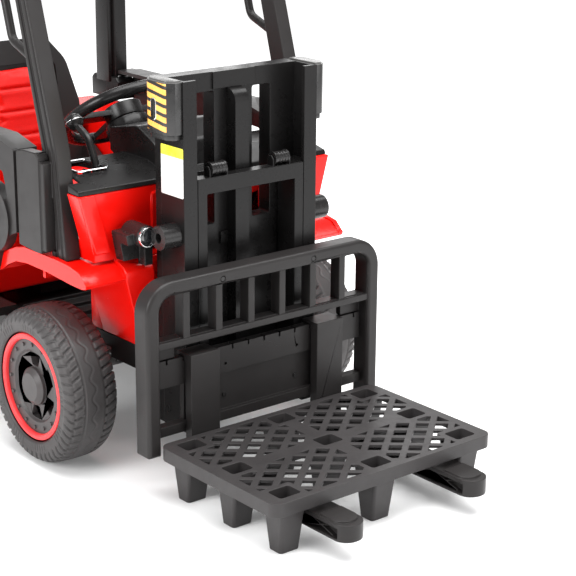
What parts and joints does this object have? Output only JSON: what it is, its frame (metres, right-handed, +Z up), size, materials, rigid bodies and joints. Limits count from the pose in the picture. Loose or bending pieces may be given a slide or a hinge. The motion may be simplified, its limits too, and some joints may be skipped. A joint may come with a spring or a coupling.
{
  "type": "toy forklift",
  "caption": "Ride-on toy forklift with a lifting mast, load backrest and forks, a small pallet, steered front wheels, seat, steering wheel and overhead guard.",
  "frame": {"origin": "centre of the bounding box on the floor the forklift stands on", "axes": "+X to the vehicle's left, -Y to its front where the forks point, +Z up"},
  "size_m": [0.634, 1.336, 0.955],
  "materials": {
    "red_plastic": "glossy moulded plastic",
    "trim_red": "glossy moulded plastic",
    "tyre_plastic": "blow-moulded tyre plastic, satin",
    "rim_plastic": "satin moulded plastic",
    "seat_leather": "padded imitation leather",
    "steel": "plain steel",
    "chrome_trim": "bright plated",
    "lamp_lens": "dark lens",
    "motor_metal": "pressed metal can",
    "screw_steel": "plated screw",
    "battery_case": "moulded battery case",
    "hazard_plastic": "glossy moulded plastic with striped film",
    "gloss_black": "glossy moulded plastic",
    "black_plastic": "satin grained moulded plastic"
  },
  "bodies": {
    "chassis": {"battery": "battery_case", "cylinder_cover": "gloss_black", "dash_top": "black_plastic", "drive_motors": "motor_metal", "floor_pan": "black_plastic", "front_axle_beam": "steel", "front_cowl": "red_plastic", "grab_handles": "black_plastic", "lamp_housings": "gloss_black", "lamp_lenses": "lamp_lens", "lamp_rings": "chrome_trim", "left_front_fender": "red_plastic", "left_front_pillar": "black_plastic", "left_hazard_casing": "hazard_plastic", "left_rear_pillar": "black_plastic", "left_side_panel": "black_plastic", "lift_motor": "motor_metal", "outer_mast": "gloss_black", "rear_axle": "steel", "rear_body": "red_plastic", "right_front_fender": "red_plastic", "right_front_pillar": "black_plastic", "right_hazard_casing": "hazard_plastic", "right_rear_pillar": "black_plastic", "right_side_panel": "black_plastic", "roof": "black_plastic", "seat_back_pad": "seat_leather", "seat_base_pad": "seat_leather", "seat_shell": "black_plastic", "stub_tubes": "gloss_black"},
    "steering_wheel": {"steering_wheel": "gloss_black", "steering_shaft": "steel"},
    "horn_button": {"horn_button": "gloss_black"},
    "lower_steering_shaft": {"lower_steering_shaft": "steel"},
    "tie_rod": {"tie_rod": "steel"},
    "left_knuckle": {"left_knuckle": "steel"},
    "right_knuckle": {"right_knuckle": "steel"},
    "front_left_wheel": {"front_left_tyre": "tyre_plastic", "front_left_rim": "rim_plastic", "front_left_trim_ring": "trim_red"},
    "front_right_wheel": {"front_right_tyre": "tyre_plastic", "front_right_rim": "rim_plastic", "front_right_trim_ring": "trim_red"},
    "rear_left_wheel": {"rear_left_tyre": "tyre_plastic", "rear_left_rim": "rim_plastic", "rear_left_trim_ring": "trim_red"},
    "rear_right_wheel": {"rear_right_tyre": "tyre_plastic", "rear_right_rim": "rim_plastic", "rear_right_trim_ring": "trim_red"},
    "inner_mast": {"inner_mast": "gloss_black"},
    "left_chain_roller": {"left_chain_roller": "gloss_black"},
    "right_chain_roller": {"right_chain_roller": "gloss_black"},
    "carriage": {"load_backrest": "black_plastic", "carriage_plate": "black_plastic", "carriage_screws": "screw_steel"},
    "left_fork": {"left_fork": "black_plastic"},
    "right_fork": {"right_fork": "black_plastic"},
    "pallet": {"pallet": "black_plastic"},
    "pedal": {"pedal": "black_plastic"},
    "lift_lever": {"lift_lever": "gloss_black"}
  },
  "joints": [
    {"name": "left_wheel_steer", "type": "hinge", "parent": "chassis", "child": "left_knuckle", "pos_m": [0.19, -0.034, 0.1365], "axis": [0, 0, 1], "range_deg": [-20, 20]},
    {"name": "right_wheel_steer", "type": "hinge", "parent": "chassis", "child": "right_knuckle", "pos_m": [-0.19, -0.034, 0.1365], "axis": [0, 0, 1], "range_deg": [-20, 20]},
    {"name": "tie_rod_shift", "type": "slide", "parent": "chassis", "child": "tie_rod", "axis": [1, 0, 0], "range_m": [-0.016, 0.016]},
    {"name": "crank_turn", "type": "hinge", "parent": "chassis", "child": "lower_steering_shaft", "pos_m": [0, -0.034, 0.12], "axis": [0, 0, 1], "range_deg": [-40.1, 40.1]},
    {"name": "steering_turn", "type": "hinge", "parent": "chassis", "child": "steering_wheel", "pos_m": [0, 0.132, 0.545], "axis": [0, 0.5736, 0.8192], "range_deg": [-40.1, 40.1]},
    {"name": "horn_press", "type": "slide", "parent": "steering_wheel", "child": "horn_button", "axis": [0, -0.5736, -0.8192], "range_m": [0, 0.0025], "stiffness_N_per_m": 400},
    {"name": "front_left_wheel_spin", "type": "hinge", "parent": "left_knuckle", "child": "front_left_wheel", "pos_m": [0.267, -0.034, 0.1365], "axis": [1, 0, 0], "continuous": true},
    {"name": "front_right_wheel_spin", "type": "hinge", "parent": "right_knuckle", "child": "front_right_wheel", "pos_m": [-0.267, -0.034, 0.1365], "axis": [1, 0, 0], "continuous": true},
    {"name": "rear_left_wheel_spin", "type": "hinge", "parent": "chassis", "child": "rear_left_wheel", "pos_m": [0.267, 0.478, 0.1365], "axis": [1, 0, 0], "continuous": true},
    {"name": "rear_right_wheel_spin", "type": "hinge", "parent": "chassis", "child": "rear_right_wheel", "pos_m": [-0.267, 0.478, 0.1365], "axis": [1, 0, 0], "continuous": true},
    {"name": "mast_lift", "type": "slide", "parent": "chassis", "child": "inner_mast", "axis": [0, 0, 1], "range_m": [0, 0.18]},
    {"name": "carriage_lift", "type": "slide", "parent": "inner_mast", "child": "carriage", "axis": [0, 0, 1], "range_m": [0, 0.181]},
    {"name": "left_fork_shift", "type": "slide", "parent": "carriage", "child": "left_fork", "axis": [-1, 0, 0], "range_m": [0, 0.067]},
    {"name": "right_fork_shift", "type": "slide", "parent": "carriage", "child": "right_fork", "axis": [1, 0, 0], "range_m": [0, 0.067]},
    {"name": "pallet_pull_off", "type": "slide", "parent": "carriage", "child": "pallet", "axis": [0, -1, 0], "range_m": [0, 0.38]},
    {"name": "left_roller_spin", "type": "hinge", "parent": "inner_mast", "child": "left_chain_roller", "pos_m": [0.066, -0.234, 0.519], "axis": [1, 0, 0], "continuous": true},
    {"name": "right_roller_spin", "type": "hinge", "parent": "inner_mast", "child": "right_chain_roller", "pos_m": [-0.066, -0.234, 0.519], "axis": [1, 0, 0], "continuous": true},
    {"name": "lift_lever_tilt", "type": "hinge", "parent": "chassis", "child": "lift_lever", "pos_m": [-0.178, -0.046, 0.462], "axis": [1, 0, 0], "range_deg": [-12, 12], "stiffness_Nm_per_rad": 1.5},
    {"name": "pedal_press", "type": "hinge", "parent": "chassis", "child": "pedal", "pos_m": [-0.07, 0.034, 0.182], "axis": [1, 0, 0], "range_deg": [-14, 0], "stiffness_Nm_per_rad": 2}
  ],
  "couplings": [
    {"joint": "right_wheel_steer", "follows": "left_wheel_steer", "ratio": 1},
    {"joint": "tie_rod_shift", "follows": "left_wheel_steer", "m_per_rad": -0.045},
    {"joint": "crank_turn", "follows": "left_wheel_steer", "ratio": 2},
    {"joint": "steering_turn", "follows": "left_wheel_steer", "ratio": 2},
    {"joint": "carriage_lift", "follows": "mast_lift", "ratio": 1}
  ]
}
